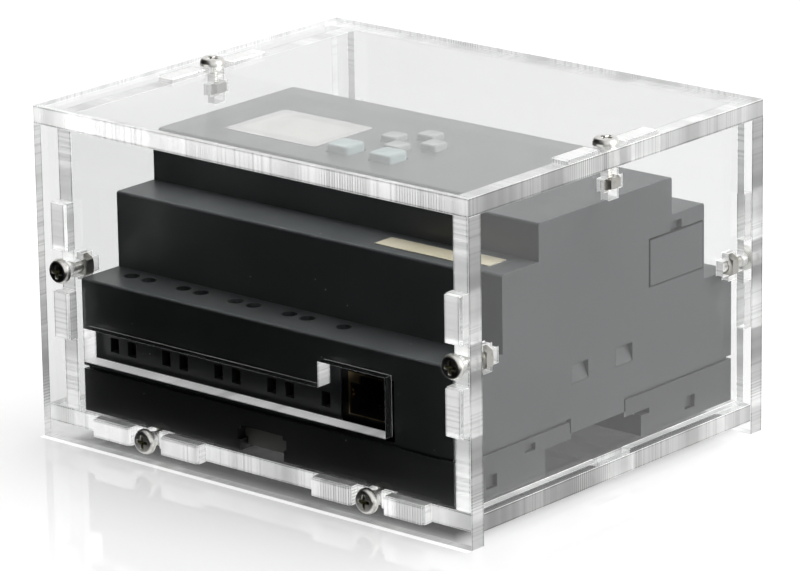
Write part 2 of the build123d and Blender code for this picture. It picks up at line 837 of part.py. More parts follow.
pad_left = arrow_keys["left_key"][0] - arrow_key_size / 2 - pad_margin
pad_right = arrow_keys["right_key"][0] + arrow_key_size / 2 + pad_margin
pad_front = command_keys["ok_key"][1] - command_key_size / 2 - pad_margin
pad_back = arrow_keys["up_key"][1] + arrow_key_size / 2 + pad_margin
with BuildPart() as key_pad:
    with BuildSketch(Plane.XY.offset(main_board_top)):
        with Locations((pad_left, pad_front)):
            Rectangle(pad_right - pad_left, pad_back - pad_front, align=(Align.MIN, Align.MIN))
    extrude(amount=pad_thickness)
    with BuildSketch(Plane.XY.offset(main_board_top)):
        with Locations(*command_keys.values(), *arrow_keys.values()):
            RegularPolygon(pad_post / 2, small_round_sides)
    extrude(amount=key_bottom - key_travel - pad_gap - main_board_top)
finish(key_pad.part, "key_pad")
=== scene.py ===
"""Dressed model of a clear screwed electronics case with a DIN-rail logic module inside.

Lengths are in metres in the shared frame: +Z is up, the front panel with its window faces -Y.
"""

import logging
import math
from dataclasses import dataclass, replace
from enum import Enum
from typing import Any

import bmesh
import bpy
import numpy as np
from mathutils import Matrix, Vector


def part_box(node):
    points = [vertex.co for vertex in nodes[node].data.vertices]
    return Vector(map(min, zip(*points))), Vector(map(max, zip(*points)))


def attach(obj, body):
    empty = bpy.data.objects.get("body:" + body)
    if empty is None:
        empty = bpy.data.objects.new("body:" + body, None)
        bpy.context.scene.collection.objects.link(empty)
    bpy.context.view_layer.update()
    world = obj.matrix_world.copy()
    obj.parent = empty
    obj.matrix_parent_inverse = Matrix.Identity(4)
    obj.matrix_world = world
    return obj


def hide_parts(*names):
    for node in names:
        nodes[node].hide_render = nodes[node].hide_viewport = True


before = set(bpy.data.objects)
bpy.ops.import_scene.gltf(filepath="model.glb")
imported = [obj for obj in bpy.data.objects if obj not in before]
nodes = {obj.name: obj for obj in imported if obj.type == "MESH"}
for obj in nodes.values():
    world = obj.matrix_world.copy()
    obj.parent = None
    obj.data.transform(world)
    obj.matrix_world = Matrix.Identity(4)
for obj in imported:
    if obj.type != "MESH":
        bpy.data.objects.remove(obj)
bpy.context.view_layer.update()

MM = 0.001
RIB_PITCH = 0.7 * MM
EDGE_ROUNDING = 0.13 * MM
SHEET_INSET = 0.02 * MM
DUST = (0.62, 0.62, 0.6)
WHITE = (1.0, 1.0, 1.0)
log = logging.getLogger("clear_case")


class Axis(Enum):
    """The direction that a sheet's faces look along."""

    X = (1.0, 0.0, 0.0)
    Y = (0.0, 1.0, 0.0)
    Z = (0.0, 0.0, 1.0)


def grid_faces(rows: int, columns: int, close_rows: bool = False, close_columns: bool = False) -> np.ndarray:
    """Corner numbers of the quads of a grid of points.

    Args:
        rows: Number of points along the first parameter.
        columns: Number of points along the second parameter.
        close_rows: Join the last row to the first.
        close_columns: Join the last column to the first.

    Returns:
        An array of quads, four point numbers each.
    """
    row = np.arange(rows if close_rows else rows - 1)
    column = np.arange(columns if close_columns else columns - 1)
    r, c = np.meshgrid(row, column, indexing="ij")
    r2, c2 = (r + 1) % rows, (c + 1) % columns
    quads = np.stack([r * columns + c, r * columns + c2, r2 * columns + c2, r2 * columns + c], axis=-1)
    return quads.reshape(-1, 4)


def turns(sides: int) -> np.ndarray:
    """Angles of equal steps round a full turn."""
    return np.linspace(0.0, 2 * np.pi, sides, endpoint=False)


def polar(radius: Any, angle: np.ndarray, height: Any) -> np.ndarray:
    """Points from radius, angle and height, each spread over the others."""
    parts = np.broadcast_arrays(radius * np.cos(angle), radius * np.sin(angle), height)
    return np.stack(parts, axis=-1)


def closed_strip(x: Any, y: Any, z: Any) -> np.ndarray:
    """Rows of points from their spread X, Y and Z, with the first and last row drawn to a point."""
    strip = np.stack(np.broadcast_arrays(x, y, z), axis=-1)
    ends = [row.mean(axis=1, keepdims=True).repeat(strip.shape[1], axis=1) for row in (strip[:1], strip[-1:])]
    return np.concatenate([ends[0], strip, ends[1]])


def link_piece(name: str, mesh: bpy.types.Mesh) -> bpy.types.Object:
    """A mesh as an object in the scene."""
    piece = bpy.data.objects.new(name, mesh)
    bpy.context.scene.collection.objects.link(piece)
    return piece


def mesh_rows(items: Any, name: str, kind: type = float) -> np.ndarray:
    """Three values of each vertex or triangle of a mesh, one row each."""
    values = np.zeros(len(items) * 3, kind)
    items.foreach_get(name, values)
    return values.reshape(-1, 3)


def make_piece(
    name: str, points: np.ndarray, quads: np.ndarray, smooth: bool = True, sunk: np.ndarray | None = None
) -> bpy.types.Object:
    """A mesh object in the scene, with doubles merged and its faces turned outwards.

    Args:
        name: Name of the piece.
        points: Corner places in metres.
        quads: Corner numbers of each face.
        smooth: Shade the faces smooth.
        sunk: How deep each corner lies in a recess, from 0 to 1, kept as an attribute.

    Returns:
        The new object.
    """
    mesh = bpy.data.meshes.new(name)
    mesh.from_pydata(points.reshape(-1, 3).tolist(), [], quads.tolist())
    if sunk is not None:
        attribute = mesh.attributes.new("sunk", "FLOAT", "POINT")
        attribute.data.foreach_set("value", sunk.ravel().astype(np.float32))
    work = bmesh.new()
    work.from_mesh(mesh)
    bmesh.ops.remove_doubles(work, verts=work.verts, dist=1e-7)
    bmesh.ops.recalc_face_normals(work, faces=work.faces)
    work.to_mesh(mesh)
    work.free()
    mesh.shade_smooth() if smooth else mesh.shade_flat()
    return link_piece(name, mesh)


def seated(points: np.ndarray, origin: tuple, x_dir: tuple, z_dir: tuple) -> np.ndarray:
    """Points of a local shape moved onto a seat.

    Args:
        points: Local points, Z along the seat's axis.
        origin: The seat's middle.
        x_dir: The seat's local X.
        z_dir: The seat's local Z.

    Returns:
        The points in the shared frame: origin plus each local value times its direction.
    """
    x_axis, z_axis = np.array(x_dir, float), np.array(z_dir, float)
    basis = np.stack([x_axis, np.cross(z_axis, x_axis), z_axis])
    return points @ basis + np.array(origin, float)


def merged_copy(node: str, name: str, inset: float) -> bpy.types.Object:
    """A copy of a CAD node with doubles merged and flat faces joined.

    Args:
        node: The CAD node.
        name: Name of the copy.
        inset: How far the faces move inwards, in metres.

    Returns:
        The copy, an object of its own.
    """
    mesh = bpy.data.meshes.new(name)
    work = bmesh.new()
    work.from_mesh(nodes[node].data)
    bmesh.ops.remove_doubles(work, verts=work.verts, dist=2e-6)
    work.to_mesh(mesh)
    work.free()
    corners = mesh_rows(mesh.polygons, "vertices", int).ravel()
    normals = np.repeat(mesh_rows(mesh.polygons, "normal"), 3, axis=0)
    places = mesh_rows(mesh.vertices, "co")
    high, low = np.zeros_like(places), np.zeros_like(places)
    np.maximum.at(high, corners, normals)
    np.minimum.at(low, corners, normals)
    mesh.vertices.foreach_set("co", (places - inset * (high + low)).ravel())
    work = bmesh.new()
    work.from_mesh(mesh)
    bmesh.ops.dissolve_limit(work, angle_limit=math.radians(0.5), verts=work.verts, edges=work.edges)
    work.to_mesh(mesh)
    work.free()
    mesh.shade_flat()
    return link_piece(name, mesh)


def bevel(piece: bpy.types.Object, width: float, material: int) -> None:
    """Round a piece's sharp edges.

    Args:
        piece: The object.
        width: Width of the rounding in metres.
        material: Number of the rounding's material.
    """
    rounding = piece.modifiers.new("edge", "BEVEL")
    rounding.material = material
    rounding.width = width
    rounding.segments = 2
    rounding.limit_method = "ANGLE"
    rounding.angle_limit = math.radians(40.0)
    rounding.harden_normals = False


class Graph:
    """Adds nodes to one node tree and joins them."""

    def __init__(self, tree: bpy.types.NodeTree) -> None:
        """Start on a tree.

        Args:
            tree: The node tree to add to.
        """
        self.tree = tree

    def feed(self, socket: bpy.types.NodeSocket, value: Any) -> None:
        """Join a socket to another, or set its value.

        Args:
            socket: The input.
            value: An output socket, a plain value, or three values for an opaque colour.
        """
        if isinstance(value, bpy.types.NodeSocket):
            self.tree.links.new(value, socket)
        elif socket.type == "RGBA" and len(value) == 3:
            socket.default_value = (*value, 1.0)
        else:
            socket.default_value = value

    def add(self, kind: str, inputs: dict | None = None, **settings: Any) -> bpy.types.Node:
        """A new node.

        Args:
            kind: The node's type.
            inputs: Values or sockets for its inputs, by name or number.
            **settings: The node's own settings.

        Returns:
            The node.
        """
        node = self.tree.nodes.new(kind)
        for name, value in settings.items():
            setattr(node, name, value)
        for key, value in (inputs or {}).items():
            self.feed(node.inputs[key], value)
        return node

    def math(self, operation: str, a: Any, b: Any = 0.0) -> bpy.types.NodeSocket:
        """Output of a Math node on two values."""
        return self.add("ShaderNodeMath", {0: a, 1: b}, operation=operation).outputs[0]

    def times(self, first: Any, *others: Any) -> bpy.types.NodeSocket:
        """Product of two or more values."""
        for other in others:
            first = self.math("MULTIPLY", first, other)
        return first

    def off(self, value: Any, middle: float) -> bpy.types.NodeSocket:
        """How far a value is from a middle, either way."""
        return self.math("ABSOLUTE", self.math("SUBTRACT", value, middle))

    def dot(self, a: Any, b: Any) -> bpy.types.NodeSocket:
        """Dot product of two vectors."""
        return self.add("ShaderNodeVectorMath", {0: a, 1: b}, operation="DOT_PRODUCT").outputs["Value"]

    def split(self, vector: Any) -> Any:
        """The X, Y and Z outputs of a vector."""
        return self.add("ShaderNodeSeparateXYZ", {0: vector}).outputs

    def normal(self) -> bpy.types.NodeSocket:
        """Direction that the surface faces."""
        return self.add("ShaderNodeNewGeometry").outputs["Normal"]

    def ramp(
        self, value: Any, low: float, high: float, start: float = 0.0, end: Any = 1.0
    ) -> bpy.types.NodeSocket:
        """A value carried smoothly from one range to another.

        Args:
            value: The input.
            low: Value that gives the start.
            high: Value that gives the end.
            start: Output at the low value.
            end: Output at the high value.

        Returns:
            The output socket.
        """
        inputs = {0: value, 1: low, 2: high, 3: start, 4: end}
        return self.add("ShaderNodeMapRange", inputs, interpolation_type="SMOOTHSTEP").outputs[0]

    def mix(self, factor: Any, a: Any, b: Any) -> bpy.types.NodeSocket:
        """Mix of two values by a factor."""
        return self.add("ShaderNodeMix", {0: factor, 2: a, 3: b}, data_type="FLOAT").outputs[0]

    def tint(self, factor: Any, a: Any, b: Any) -> bpy.types.NodeSocket:
        """Mix of two colours by a factor."""
        return self.add("ShaderNodeMix", {0: factor, 6: a, 7: b}, data_type="RGBA").outputs[2]

    def noise(
        self, vector: Any, scale: Any, detail: float = 3.0, rough: float = 0.5
    ) -> bpy.types.NodeSocket:
        """Value of a noise texture at a place."""
        inputs = {"Vector": vector, "Scale": scale, "Detail": detail, "Roughness": rough}
        return self.add("ShaderNodeTexNoise", inputs).outputs[0]

    def place(self) -> bpy.types.NodeSocket:
        """Object coordinates."""
        return self.add("ShaderNodeTexCoord").outputs["Object"]

    def frame_distance(self, middle: tuple, half: tuple, first: int, second: int) -> bpy.types.NodeSocket:
        """Signed distance to a rectangle: the larger of how far a place lies beyond its two pairs of sides.

        Args:
            middle: The rectangle's middle in object coordinates.
            half: Half its size along each axis.
            first: Number of the axis across the first pair of sides.
            second: Number of the axis across the second pair.

        Returns:
            The distance in metres, negative inside.
        """
        parts = self.split(self.place())
        beyond = [
            self.math("SUBTRACT", self.off(parts[number], middle[number]), half[number])
            for number in (first, second)
        ]
        return self.math("MAXIMUM", *beyond)

    def frame_line(self, distance: Any, width: float) -> bpy.types.NodeSocket:
        """A soft line of a given half width where a distance is nought."""
        return self.ramp(self.math("ABSOLUTE", distance), width, 0.3 * width)


def effect_group(name: str, inputs: dict, *outputs: str) -> tuple:
    """An empty node group with named float sockets.

    Args:
        name: The group's name.
        inputs: Default value of each input.
        *outputs: Name of each output.

    Returns:
        The group, its graph, the inputs' node and the outputs' node.
    """
    group = bpy.data.node_groups.new(name, "ShaderNodeTree")
    for label, value in inputs.items():
        socket = group.interface.new_socket(label, in_out="INPUT", socket_type="NodeSocketFloat")
        socket.default_value = value
    for label in outputs:
        group.interface.new_socket(label, in_out="OUTPUT", socket_type="NodeSocketFloat")
    graph = Graph(group)
    return group, graph, graph.add("NodeGroupInput"), graph.add("NodeGroupOutput")


def edge_wear_and_highlight_group() -> bpy.types.NodeTree:
    """Mask of convex edges, from a rounded normal's turn away from the true one, broken up by noise: paler
    edges that are partly wear and partly a painted highlight.
    """
    group, graph, given, result = effect_group("edge_wear_and_highlight", {"Radius": 0.3 * MM, "Amount": 1.0}, "Mask")
    rounded = graph.add("ShaderNodeBevel", {"Radius": given.outputs["Radius"]}, samples=4)
    edge = graph.ramp(graph.dot(rounded.outputs[0], graph.normal()), 0.985, 0.8)
    broken = graph.ramp(graph.noise(graph.place(), 700.0), 0.35, 0.65, 0.4, 1.0)
    graph.feed(result.inputs["Mask"], graph.times(edge, broken, given.outputs["Amount"]))
    return group


def grain_group() -> bpy.types.NodeTree:
    """Moulded grain: a fine noise over small cells as height, and a broad noise as tone."""
    group, graph, given, result = effect_group("moulded_grain", {"Scale": 4000.0}, "Height", "Tone")
    place = graph.place()
    fine = graph.noise(place, given.outputs["Scale"], 2.0)
    cells = graph.add("ShaderNodeTexVoronoi", {"Vector": place, "Scale": given.outputs["Scale"]})
    height = graph.math("ADD", fine, graph.times(cells.outputs["Distance"], 0.5))
    graph.feed(result.inputs["Height"], height)
    graph.feed(result.inputs["Tone"], graph.noise(place, 60.0, 4.0))
    return group


def dust_group() -> bpy.types.NodeTree:
    """White specks in some of the cells of a Voronoi pattern, and a thin film on faces that look up."""
    group, graph, given, result = effect_group("dust", {"Specks": 1.0, "Film": 0.1}, "Mask")
    place = graph.place()
    cells = graph.add("ShaderNodeTexVoronoi", {"Vector": place, "Scale": 330.0})
    pick = graph.add("ShaderNodeSeparateColor", {0: cells.outputs["Color"]})
    size = graph.ramp(pick.outputs[0], 0.6, 1.0, 0.0, 0.055)
    speck = graph.math("LESS_THAN", cells.outputs["Distance"], size)
    upward = graph.ramp(graph.split(graph.normal())[2], 0.3, 1.0)
    film = graph.times(upward, graph.ramp(graph.noise(place, 90.0, 5.0), 0.35, 0.7), given.outputs["Film"])
    both = graph.math("MAXIMUM", graph.times(speck, given.outputs["Specks"]), film)
    graph.feed(result.inputs["Mask"], both)
    return group


def cut_lines_group() -> bpy.types.NodeTree:
    """Laser-cut lines: noise squeezed flat through the sheet, so that it runs as lines across the edge."""
    group, graph, given, result = effect_group("cut_lines", {"Spacing": 1600.0}, "Height", "Tone")
    socket = group.interface.new_socket("Along", in_out="INPUT", socket_type="NodeSocketVector")
    socket.default_value = (1.0, 1.0, 1.0)
    flat = graph.add(
        "ShaderNodeVectorMath", {0: graph.place(), 1: given.outputs["Along"]}, operation="MULTIPLY"
    ).outputs[0]
    lines = graph.noise(flat, given.outputs["Spacing"], 2.0)
    graph.feed(result.inputs["Height"], lines)
    fine = graph.ramp(lines, 0.42, 0.68, 0.0, 0.4)
    parts = graph.split(flat)
    course = graph.math("ADD", graph.math("ADD", parts[0], parts[1]), parts[2])
    ribs = graph.ramp(graph.math("SINE", graph.times(course, math.tau / RIB_PITCH)), -0.2, 0.8)
    stretch = graph.ramp(graph.noise(flat, 48.0, 1.0), 0.58, 0.64, 0.0, 0.7)
    soft = graph.ramp(graph.noise(flat, 95.0, 4.0), 0.44, 0.66, 0.0, 0.55)
    marks = graph.math("MAXIMUM", graph.times(ribs, stretch), graph.math("MAXIMUM", fine, soft))
    graph.feed(result.inputs["Tone"], graph.math("SUBTRACT", 1.0, marks))
    return group


class Effects:
    """The node groups that several finishes share, each made once."""

    def __init__(self) -> None:
        """Make the groups."""
        self.edge_wear_and_highlight = edge_wear_and_highlight_group()
        self.grain = grain_group()
        self.dust = dust_group()
        self.cut_lines = cut_lines_group()


effects = Effects()


class Surface(Graph):
    """A material's graph, with its Principled shader and output."""

    def __init__(self, name: str) -> None:
        """Make an empty material.

        Args:
            name: The material's name.
        """
        self.material = bpy.data.materials.new(name)
        self.material.use_nodes = True
        super().__init__(self.material.node_tree)
        self.tree.nodes.clear()
        self.shader = self.add("ShaderNodeBsdfPrincipled")
        self.output = self.add("ShaderNodeOutputMaterial")
        self.feed(self.output.inputs["Surface"], self.shader.outputs[0])

    def set(self, **values: Any) -> None:
        """Set the Principled shader's inputs, with underscores for the spaces of their names."""
        for name, value in values.items():
            self.feed(self.shader.inputs[name.replace("_", " ")], value)

    def effect(self, group: bpy.types.NodeTree, **values: Any) -> bpy.types.Node:
        """Place a shared effect.

        Args:
            group: The effect's node group.
            **values: Its inputs.

        Returns:
            The group node.
        """
        return self.add("ShaderNodeGroup", values, node_tree=group)

    def bump(self, height: Any, depth: float, strength: float = 1.0) -> None:
        """Feed a bump to the shader's normal.

        Args:
            height: Height socket.
            depth: Height in metres of a value of one.
            strength: Strength of the bump.
        """
        node = self.add("ShaderNodeBump", {"Height": height, "Distance": depth, "Strength": strength})
        self.feed(self.shader.inputs["Normal"], node.outputs[0])

    def let_lamps_through(self, scattered: bool = False) -> None:
        """Let shadow rays pass, so that the lamps reach what stands behind the clear sheet.

        Args:
            scattered: Let scattered light pass too, so that the piece doesn't light its neighbours.
        """
        clear = self.add("ShaderNodeBsdfTransparent", {0: (0.92, 0.92, 0.92)})
        path = self.add("ShaderNodeLightPath")
        passes = path.outputs["Is Shadow Ray"]
        if scattered:
            passes = self.math("MAXIMUM", passes, path.outputs["Is Diffuse Ray"])
        inputs = {0: passes, 1: self.shader.outputs[0], 2: clear.outputs[0]}
        mixed = self.add("ShaderNodeMixShader", inputs)
        self.feed(self.output.inputs["Surface"], mixed.outputs[0])


@dataclass(frozen=True)
class ClearFace:
    """Polished face of clear sheet."""

    name: str = "clear_face"
    colour: tuple = (0.985, 0.99, 0.988)
    index: float = 1.49

    def build(self) -> bpy.types.Material:
        """The material: clear glass-like plastic with faint wiping marks in its gloss."""
        surface = Surface(self.name)
        haze = surface.ramp(surface.noise(surface.place(), 260.0, 6.0, 0.7), 0.66, 0.8, 0.0, 0.012)
        surface.set(Base_Color=self.colour, Roughness=haze, IOR=self.index, Transmission_Weight=1.0)
        surface.let_lamps_through()
        return surface.material


@dataclass(frozen=True)
class CutEdge:
    """Laser-cut edge of clear sheet, frosted by fine lines that run through the sheet.

    Light that travels inside the sheet leaves it at the edges, which is why they look brighter than their
    surroundings. The small emission stands for it.
    """

    name: str
    sheet_axis: Axis
    centre: float
    reach: float
    glow: float = 0.78

    def build(self) -> bpy.types.Material:
        """The material: pale, half clear, with lines in tone, gloss and height, and painted shade as a dark
        band next to the faces.

        The two sheets of one direction lie at centre plus and minus reach, so the distance from the middle
        of a sheet is the absolute value of that of the place from the centre, less the reach. The rounded
        edges, which look neither along the sheet nor across it, are bright. Cuts that face up, down or out
        to the right glow less, because they send the light away from the front.
        """
        surface = Surface(self.name)
        along = tuple(1.0 - value for value in self.sheet_axis.value)
        lines = surface.effect(effects.cut_lines, Spacing=1700.0, Along=along)
        number = self.sheet_axis.value.index(1.0)
        place = surface.split(surface.place())
        from_middle = surface.off(surface.off(place[number], self.centre), self.reach)
        geometry = surface.add("ShaderNodeNewGeometry")
        facing = surface.split(geometry.outputs["Normal"])
        slant = surface.ramp(surface.math("ABSOLUTE", facing[number]), 0.15, 0.4)
        flat = surface.math("SUBTRACT", 1.0, slant)
        # Painted shade: a dark band along the cut next to the sheet's faces.
        outline = surface.times(surface.ramp(from_middle, 1.5 * MM, 1.75 * MM, 0.0, 0.55), flat)
        level = surface.math("SUBTRACT", lines.outputs["Tone"], outline)
        tone = surface.tint(level, (0.22, 0.225, 0.22), (0.9, 0.905, 0.9))
        upward = surface.ramp(facing[2], 0.2, 0.9, 1.0, 0.35)
        downward = surface.ramp(facing[2], -0.8, -0.95, 1.0, 0.1)
        beyond_window = surface.ramp(place[0], 45.0 * MM, 50.0 * MM, 0.8, 0.1)
        rightward = surface.ramp(facing[0], 0.2, 0.9, 1.0, beyond_window)
        inside = surface.ramp(geometry.outputs["Backfacing"], 0.0, 1.0, 1.0, 0.55)
        share = surface.times(upward, downward, rightward, inside)
        share = surface.math("MAXIMUM", share, surface.times(slant, 0.6))
        surface.set(
            Base_Color=tone,
            Roughness=surface.ramp(lines.outputs["Tone"], 0.0, 1.0, 0.38, 0.29),
            IOR=1.49,
            Transmission_Weight=0.58,
            Emission_Color=surface.tint(share, (0.0, 0.0, 0.0), tone),
            Emission_Strength=self.glow,
        )
        surface.bump(lines.outputs["Height"], 0.00001)
        surface.let_lamps_through(scattered=True)
        return surface.material


@dataclass(frozen=True)
class MouldedPlastic:
    """Moulded plastic with grain, paler edges that are partly wear and partly a painted highlight, and dust.
    """

    name: str
    colour: tuple
    worn_and_highlight: tuple
    roughness: float = 0.34
    grain: float = 7000.0
    depth: float = 0.000006
    wear_and_highlight: float = 0.5
    specks: float = 1.0
    film: float = 0.02
    pockets: tuple = ()
    line: float = 0.00022

    def build(self) -> bpy.types.Material:
        """The material, its tone broken by the grain, with dust on top, paler edges that are partly a painted
        highlight, and painted shade as dark lines round its pockets.
        """
        surface = Surface(self.name)
        grain = surface.effect(effects.grain, Scale=self.grain)
        # Paler edges: partly wear, partly a painted highlight where edges catch the light.
        wear_and_highlight = surface.effect(effects.edge_wear_and_highlight, Radius=0.00035, Amount=self.wear_and_highlight)
        dust = surface.effect(effects.dust, Specks=self.specks, Film=self.film)
        darker = tuple(0.9 * value for value in self.colour)
        tone = surface.tint(surface.ramp(grain.outputs["Tone"], 0.3, 0.7), darker, self.colour)
        worn_and_highlight = surface.tint(wear_and_highlight.outputs["Mask"], tone, self.worn_and_highlight)
        dusty = surface.tint(dust.outputs["Mask"], worn_and_highlight, DUST)
        # Painted shade: a dark line round each pocket's rim.
        for middle, half in self.pockets:
            rim = surface.frame_line(surface.frame_distance(middle, half, 1, 2), self.line)
            dusty = surface.tint(surface.times(rim, 0.75), dusty, (0.008, 0.008, 0.008))
        low, high = self.roughness - 0.05, self.roughness + 0.08
        surface.set(Base_Color=dusty, Roughness=surface.ramp(grain.outputs["Tone"], 0.2, 0.8, low, high))
        surface.bump(grain.outputs["Height"], self.depth, 0.1)
        return surface.material


@dataclass(frozen=True)
class CapPlastic:
    """Cover plastic of the expansion cap, with painted shade as a thin dark line round its outline, where it
    meets the cover.
    """

    middle: tuple
    half: tuple
    name: str = "cap_plastic"
    line: float = 0.00028

    def build(self) -> bpy.types.Material:
        """The material, its painted shade line found from the distance to the cap's sides."""
        surface = Surface(self.name)
        # Painted shade: a thin dark line round the cap's outline, where it meets the cover.
        distance = surface.frame_distance(self.middle, self.half, 1, 2)
        rim = surface.ramp(distance, -self.line, -0.6 * self.line)
        grain = surface.effect(effects.grain, Scale=7000.0)
        dust = surface.effect(effects.dust, Specks=1.0, Film=0.03)
        tone = surface.tint(grain.outputs["Tone"], (0.063, 0.067, 0.069), (0.07, 0.075, 0.077))
        dusty = surface.tint(dust.outputs["Mask"], tone, DUST)
        surface.set(
            Base_Color=surface.tint(rim, dusty, (0.004, 0.004, 0.004)),
            Roughness=surface.ramp(rim, 0.0, 1.0, 0.35, 0.9),
        )
        surface.bump(grain.outputs["Height"], 0.000006, 0.1)
        return surface.material


@dataclass(frozen=True)
class Metal:
    """Bare or plated metal with stains and a fine unevenness."""

    name: str
    colour: tuple
    stain: tuple
    roughness: float = 0.25
    recessed: bool = False

    def build(self) -> bpy.types.Material:
        """The material, stained in patches, duller where stained, with paler edges that are partly wear and
        partly a painted highlight, and, where recessed, painted shade tinted dark olive in the recesses.
        """
        surface = Surface(self.name)
        place = surface.place()
        patch = surface.ramp(surface.noise(place, 500.0, 5.0, 0.6), 0.45, 0.75)
        # Paler edges: partly wear, partly a painted highlight.
        wear_and_highlight = surface.effect(effects.edge_wear_and_highlight, Radius=0.0002, Amount=0.5)
        tone = surface.tint(patch, self.colour, self.stain)
        bright = tuple(min(1.0, 1.2 * value) for value in self.colour)
        finished = surface.tint(wear_and_highlight.outputs["Mask"], tone, bright)
        # Painted shade: the cross recess is tinted dark olive, by how deep each point lies in it.
        if self.recessed:
            sunk = surface.add("ShaderNodeAttribute", attribute_name="sunk").outputs["Fac"]
            finished = surface.tint(surface.ramp(sunk, 0.2, 0.7), finished, (0.16, 0.15, 0.075))
        surface.set(
            Base_Color=finished,
            Metallic=1.0,
            Roughness=surface.ramp(patch, 0.0, 1.0, self.roughness, self.roughness + 0.2),
        )
        surface.bump(surface.noise(place, 6000.0, 3.0), 0.00001, 0.5)
        return surface.material


@dataclass(frozen=True)
class SocketShield:
    """Dark metal front of the network socket, with a bare edge round its opening and a black lining."""

    front: float
    opening: tuple
    half: tuple
    name: str = "socket_shield"

    def build(self) -> bpy.types.Material:
        """The material: metal on the front, bare at the opening's edge, black deeper in the cavity."""
        surface = Surface(self.name)
        place = surface.place()
        inside = surface.ramp(surface.split(place)[1], self.front + 0.4 * MM, self.front + 0.6 * MM)
        stain = surface.ramp(surface.noise(place, 400.0, 5.0), 0.4, 0.7)
        dark = surface.tint(stain, (0.012, 0.012, 0.012), (0.006, 0.006, 0.006))
        bare = surface.ramp(surface.frame_distance(self.opening, self.half, 0, 2), 0.00042, 0.00018)
        metal = surface.tint(bare, dark, (0.17, 0.13, 0.07))
        surface.set(
            Base_Color=surface.tint(inside, metal, (0.005, 0.005, 0.005)),
            Metallic=surface.math("SUBTRACT", 1.0, inside),
            Roughness=surface.ramp(stain, 0.0, 1.0, 0.28, 0.5),
        )
        surface.bump(surface.noise(place, 3000.0), 0.00001, 0.5)
        return surface.material


@dataclass(frozen=True)
class DisplayLens:
    """Glossy display lens: a pale picture area inside a slightly darker rim, with a fine dot grid."""

    middle: tuple
    half: tuple
    name: str = "display_lens"

    def build(self) -> bpy.types.Material:
        """The material, its rim found from the distance to the picture area's sides."""
        surface = Surface(self.name)
        place = surface.place()
        rim = surface.ramp(surface.frame_distance(self.middle, self.half, 0, 1), -0.0001, 0.0001)
        dots = surface.add("ShaderNodeTexVoronoi", {"Vector": place, "Scale": 2600.0, "Randomness": 0.0})
        dot = surface.ramp(dots.outputs["Distance"], 0.3, 0.5)
        glass = surface.tint(dot, (0.47, 0.462, 0.435), (0.44, 0.433, 0.408))
        surface.set(
            Base_Color=surface.tint(rim, glass, (0.36, 0.362, 0.352)),
            Roughness=surface.ramp(surface.noise(place, 200.0, 4.0), 0.4, 0.8, 0.06, 0.16),
            Coat_Weight=0.6,
        )
        return surface.material


@dataclass(frozen=True)
class LabelFoil:
    """Bare tan label with a fine fibre and a paler border, partly wear and partly a painted highlight."""

    name: str = "label_foil"

    def build(self) -> bpy.types.Material:
        """The material, with fibres in tone and height."""
        surface = Surface(self.name)
        place = surface.place()
        fibre = surface.noise(place, 2500.0, 5.0, 0.7)
        patch = surface.noise(place, 150.0, 3.0)
        tone = surface.tint(surface.ramp(patch, 0.3, 0.7), (0.46, 0.42, 0.31), (0.54, 0.5, 0.38))
        # Paler border: partly wear, partly a painted highlight along the label's edges.
        wear_and_highlight = surface.effect(effects.edge_wear_and_highlight, Radius=0.0003, Amount=0.7)
        dust = surface.effect(effects.dust, Specks=0.8, Film=0.1)
        worn_and_highlight = surface.tint(wear_and_highlight.outputs["Mask"], tone, (0.66, 0.63, 0.52))
        surface.set(
            Base_Color=surface.tint(dust.outputs["Mask"], worn_and_highlight, (0.75, 0.74, 0.7)),
            Roughness=surface.ramp(fibre, 0.3, 0.7, 0.45, 0.6),
        )
        surface.bump(fibre, 0.00002, 0.5)
        return surface.material


@dataclass(frozen=True)
class CircuitBoard:
    """Green solder mask over copper tracks."""

    name: str = "circuit_board"

    def build(self) -> bpy.types.Material:
        """The material: tracks are the joints of a brick pattern, raised a little and paler."""
        surface = Surface(self.name)
        inputs = {"Vector": surface.place(), "Scale": 260.0, "Mortar Size": 0.08}
        track = surface.add("ShaderNodeTexBrick", inputs).outputs["Fac"]
        surface.set(
            Base_Color=surface.tint(track, (0.02, 0.12, 0.05), (0.05, 0.24, 0.1)),
            Roughness=surface.ramp(surface.noise(surface.place(), 300.0), 0.3, 0.7, 0.25, 0.4),
        )
        surface.bump(track, 0.00003)
        return surface.material


